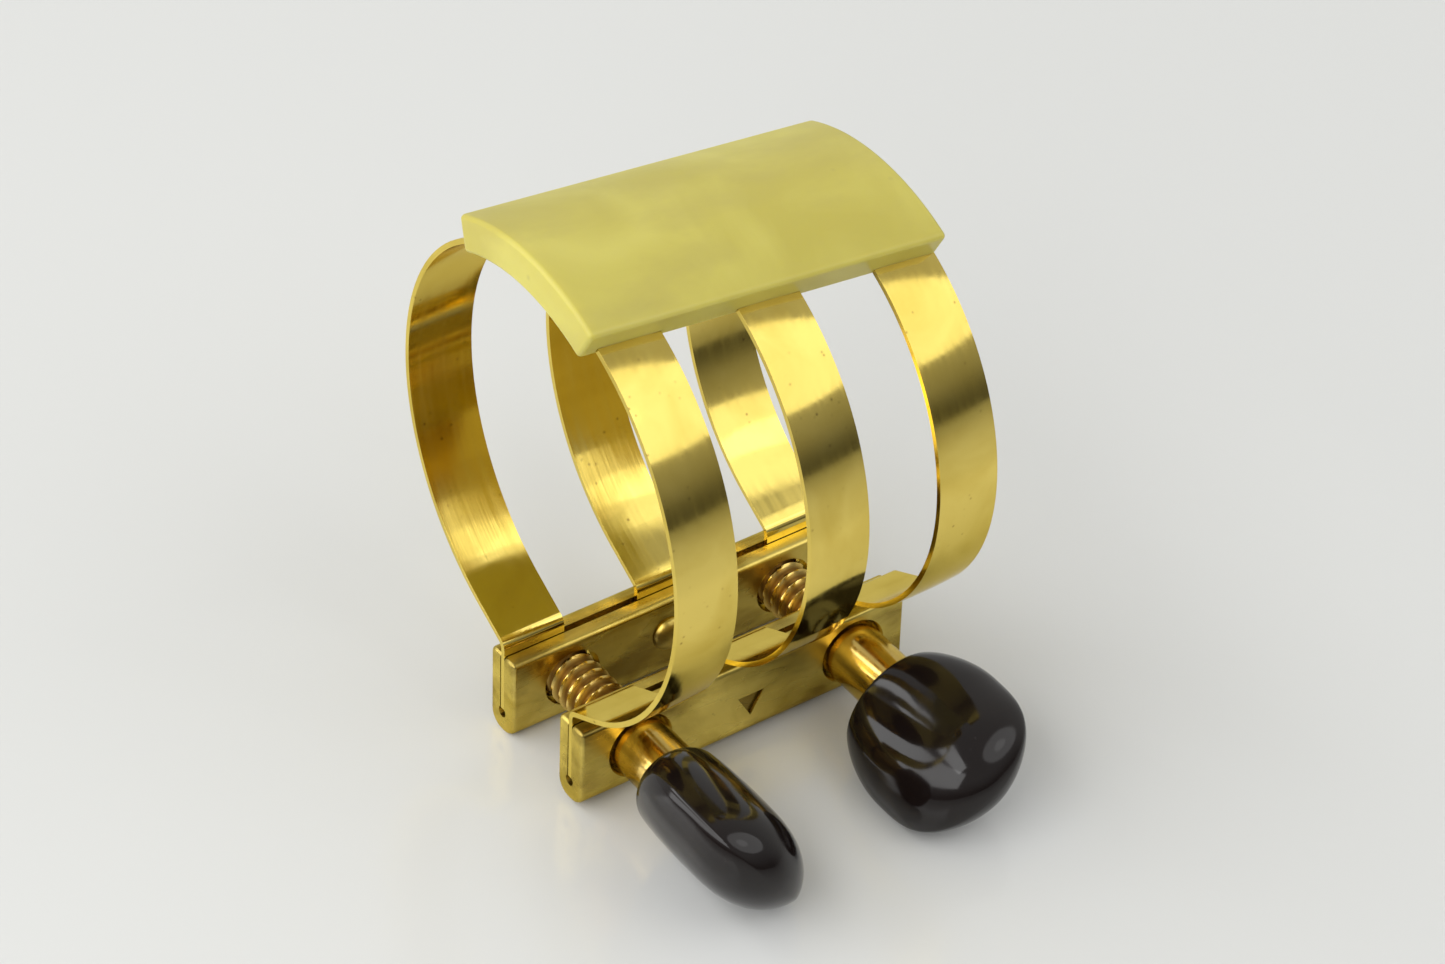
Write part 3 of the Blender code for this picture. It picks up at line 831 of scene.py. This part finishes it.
def makePlate():
    d = plate
    nx = d["along"]
    columns = [d["left"] + (d["right"] - d["left"]) * k / nx for k in range(nx + 1)]
    c0, phi, _ = plateArc(d["left"])
    c1 = plateArc(d["right"])[0] + d["lift"]
    lean = ring["lean"] * (ring["halfHeight"] + d["leanRise"])
    lines = []
    for k in range(nx + 1):
        centre = c0 + (c1 - c0) * k / nx
        lines.append([(lean + d["radius"] * math.sin(phi * (1 - 2 * r / d["across"])),
                       centre + d["radius"] * math.cos(phi * (1 - 2 * r / d["across"])))
                      for r in range(d["across"] + 1)])
    obj = laidGrid(columns, lines)
    thicken(obj, d["thick"])
    bevelSharp(obj, d["edge"], d["edgeSteps"], 50)
    outward(obj)
    half = comb["width"] / 2 + d["slotSlack"]
    n = d["slotSteps"]
    for side in (1.0, -1.0):                      # a slot for the end of each strip
        for i in (-1, 0, 1):
            xs = [i * comb["pitch"] - half, i * comb["pitch"] + half]
            ends = []
            for x in xs:
                a0 = plateEndAngle(x, d["slotOut"])
                a1 = plateEndAngle(x, comb["slotDepth"] + d["slotDeeper"])
                ends.append([ringPoint(x, side, a0 + (a1 - a0) * k / n) for k in range(n + 1)])
            slot = laidGrid(xs, ends)
            thicken(slot, comb["sheet"] + d["slotTaller"])
            outward(slot)
            cutWith(obj, slot)
    crispShade(obj, 40)
    return obj


print("materials")
brassForBands = bandBrass()
brassForRails = railBrass("railBrass", railFinish)
vinylSkin = gripVinyl()
plateSkin = plateResin()

print("bands")
rearBands = makeComb(1.0, rearY)
settle(rearBands, "rearBandSheet", "clamp", "rear_bands", brassForBands)
frontBands = makeComb(-1.0, frontY)
settle(frontBands, "frontBandSheet", None, "front_bands", brassForBands)

print("rails")
rearRail = makeRail(rearY)
rearSpan = (cutter["rearFrom"], cutter["rearTo"])
for x in (rail["screwLeft"], rail["screwRight"]):
    cutWith(rearRail, rod(rail["tap"], *rearSpan, x, rail["screwHeight"]))
    cutWith(rearBands, rod(rail["tap"], *rearSpan, x, rail["screwHeight"]))
cutWith(rearRail, rod(rivet["hole"], *rearSpan, rivet["x"], rivet["z"], rivet["sides"]))
bevelSharp(rearRail, rail["edge"], 2, 40)
crispShade(rearRail)
settle(rearRail, "rearRailBar", "clamp", "rear_rail", brassForRails)

frontRail = makeRail(frontY)
frontSpan = (cutter["frontFrom"], cutter["frontTo"])
seatFloor = frontFaceY + rail["seatDepth"]
for x in (rail["screwLeft"], rail["screwRight"]):
    cutWith(frontRail, rod(rail["bore"], *frontSpan, x, rail["screwHeight"]))
    cutWith(frontRail, rod(rail["seat"], cutter["frontFrom"], seatFloor, x, rail["screwHeight"]))
    cutWith(frontRail, seatLip(x, frontFaceY))
    cutWith(frontBands, rod(rail["bore"], *frontSpan, x, rail["screwHeight"]))
bpy.ops.mesh.primitive_cylinder_add(
    vertices=3, radius=stamp["radius"] * mm, depth=2 * stamp["depth"] * mm,
    location=(home + Vector((stamp["x"], frontFaceY, stamp["z"]))) * mm,
    rotation=(math.pi / 2, math.pi, 0))
place(bpy.context.object)
cutWith(frontRail, bpy.context.object)
bevelSharp(frontRail, rail["edge"], 2, 40)
crispShade(frontRail)
settle(frontRail, "frontRailBar", "front_jaw", "front_rail", brassForRails)

print("thumb screws")
for label, x in (("left", rail["screwLeft"]), ("right", rail["screwRight"])):
    screwSkin = screwBrass(label + "ScrewBrass", home.x + x, home.z + rail["screwHeight"])
    body = label + "_thumbscrew"
    settle(makeScrew(x), label + "ThreadedScrew", body, label + "_screw", screwSkin)
    thumbGrip = makeGrip(x, *gripPlace[label])
    settle(thumbGrip, label + "DippedGrip", body, label + "_grip", vinylSkin)

print("rivet and plate")
rivetFace = rearY - rail["thick"] / 2
rivetFar = rivetFace + rail["thick"]
bpy.ops.mesh.primitive_uv_sphere_add(
    segments=40, ring_count=24, radius=rivet["head"] * mm,
    location=(home + Vector((rivet["x"], rivetFace, rivet["z"]))) * mm)
rivetHead = bpy.context.object
rivetHead.scale = (1.0, rivet["flatten"], 1.0)
place(rivetHead)
behind = rivetFace + 1.0 - rivet["standOff"]      # the back half of the ball is taken off
cutWith(rivetHead, block((4, 2, 4), (rivet["x"], behind, rivet["z"])))
shank = rod(rivet["shank"], rivetFace - rivet["overlap"], rivetFar,
            rivet["x"], rivet["z"], rivet["sides"])
cutWith(rivetHead, shank, "UNION")
smoothShade(rivetHead, 40)
rivetSkin = railBrass("rivetBrass", rivetFinish)
settle(rivetHead, "domedRivet", "clamp", "rear_rivet", rivetSkin)
settle(makePlate(), "resinPlate", "clamp", "pressure_plate", plateSkin)

for sheet in (frontBands, rearBands):
    bevelSharp(sheet, comb["edge"], 1, 50)
    crispShade(sheet, 32)
ringMid = (home + Vector((0, 0, ring["centre"]))) * mm
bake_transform(frontBands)


# floor, lights and camera

def lowestAlong(obj, normal):
    return min((v.co for v in obj.data.vertices), key=lambda co: co.dot(normal)).copy()


leftGrip = bpy.data.objects["leftDippedGrip"]
rightGrip = bpy.data.objects["rightDippedGrip"]
normal = Vector((0, 0, 1))                        # the ligature rests on both grips and the rear rail
for _ in range(8):
    a, b, c = (lowestAlong(o, normal) for o in (leftGrip, rightGrip, rearRail))
    normal = (b - a).cross(c - a).normalized()
    if normal.z < 0:
        normal.negate()
print("floor, normal", normal)
table = dict(size=3.2, tone=(0.70, 0.705, 0.69, 1.0), rough=0.16, beyond=(0.72, 0.73, 0.72, 1.0))
bpy.ops.mesh.primitive_plane_add(size=table["size"], location=a)
floor = bpy.context.object
floor.name = "paleFloor"
floor.rotation_mode = "QUATERNION"
floor.rotation_quaternion = normal.to_track_quat("Z", "Y")
floorMat, _, _, floorShader = newMaterial("paleGloss")
floorShader.inputs["Base Color"].default_value = table["tone"]
floorShader.inputs["Roughness"].default_value = table["rough"]
floor.data.materials.append(floorMat)

world = bpy.data.worlds.new("studio")
bpy.context.scene.world = world
world.use_nodes = True
wn, wl = world.node_tree.nodes, world.node_tree.links
background = wn["Background"]
wcoord = wn.new("ShaderNodeTexCoord")
split = wn.new("ShaderNodeSeparateXYZ")
wl.new(wcoord.outputs["Generated"], split.inputs[0])
toBack = wn.new("ShaderNodeVectorMath")
toBack.operation = "DOT_PRODUCT"
toBack.inputs[1].default_value = (0.59, 0.807, 0.0)
wl.new(wcoord.outputs["Generated"], toBack.inputs[0])
toUnit = mapRange(wn, wl, toBack.outputs["Value"], -0.15, 0.45, 0.0, 1.0)
room = ramp(wn, [(0.0, 0.10), (0.06, 0.14), (0.185, 0.30), (0.376, 0.45), (0.80, 0.42), (1.0, 0.46)])
wl.new(split.outputs["Z"], room.inputs["Fac"])
paleSheet = (0.60, 0.60, 0.58)                    # hangs behind, on the far side
skyTone = mixColor(wn, wl, toUnit, room.outputs["Color"], paleSheet)
wl.new(skyTone, background.inputs["Color"])
background.inputs["Strength"].default_value = 1.0
seen = wn.new("ShaderNodeBackground")
seen.inputs["Color"].default_value = table["beyond"]
path = wn.new("ShaderNodeLightPath")
mixWorld = wn.new("ShaderNodeMixShader")
wl.new(path.outputs["Is Camera Ray"], mixWorld.inputs[0])
wl.new(background.outputs[0], mixWorld.inputs[1])
wl.new(seen.outputs[0], mixWorld.inputs[2])
wl.new(mixWorld.outputs[0], wn["World Output"].inputs["Surface"])


# azimuth is from the front towards +X, sizes are the angles seen from the ring
def softLight(name, azimuth, elevation, wide, tall, radiance, shape="RECTANGLE",
              roll=0.0, distance=0.75):
    a = math.radians(azimuth)
    e = math.radians(elevation)
    d = Vector((math.sin(a) * math.cos(e), -math.cos(a) * math.cos(e), math.sin(e)))
    light = bpy.data.lights.new(name, "AREA")
    light.shape = shape
    light.size = 2 * distance * math.tan(math.radians(wide / 2))
    light.size_y = 2 * distance * math.tan(math.radians(tall / 2))
    light.energy = radiance * 4 * light.size * light.size_y * (math.pi / 4 if shape == "ELLIPSE" else 1)
    obj = bpy.data.objects.new(name, light)
    bpy.context.scene.collection.objects.link(obj)
    obj.location = ringMid + d * distance
    obj.rotation_mode = "QUATERNION"
    obj.rotation_quaternion = d.to_track_quat("Z", "Y") @ Quaternion((0, 0, 1), math.radians(roll))
    obj.visible_camera = False


softLight("roundBox", 36, 43.5, 56, 41, 0.90, "ELLIPSE", roll=-30)
softLight("roundCore", 33, 44, 18, 14, 0.6, "ELLIPSE", roll=-30, distance=0.74)
softLight("sideBoxLow", -92, 27, 92, 30, 2.0, roll=8)
softLight("sideBoxHigh", -106, 54, 84, 16, 2.4, roll=6)

print("lights and camera")
view = dict(azimuth=-36.195, elevation=39.644, roll=2.060, lens=150.47,
            place=(-159.625, -220.046, 241.774))
az, el, ro = (math.radians(view[k]) for k in ("azimuth", "elevation", "roll"))
back = Vector((math.sin(az) * math.cos(el), -math.cos(az) * math.cos(el), math.sin(el)))
right = Vector((math.cos(az), math.sin(az), 0))
up = back.cross(right)
camX = right * math.cos(ro) + up * math.sin(ro)
camY = up * math.cos(ro) - right * math.sin(ro)
camData = bpy.data.cameras.new("productCamera")
camData.lens = view["lens"]
camData.sensor_width = 36
camData.clip_start, camData.clip_end = 0.01, 20
camera = bpy.data.objects.new("productCamera", camData)
bpy.context.scene.collection.objects.link(camera)
turn = Matrix((camX, camY, back)).transposed()
camera.matrix_world = Matrix.Translation((home + Vector(view["place"])) * mm) @ turn.to_4x4()
bpy.context.scene.camera = camera
bpy.context.scene.view_settings.view_transform = "Standard"
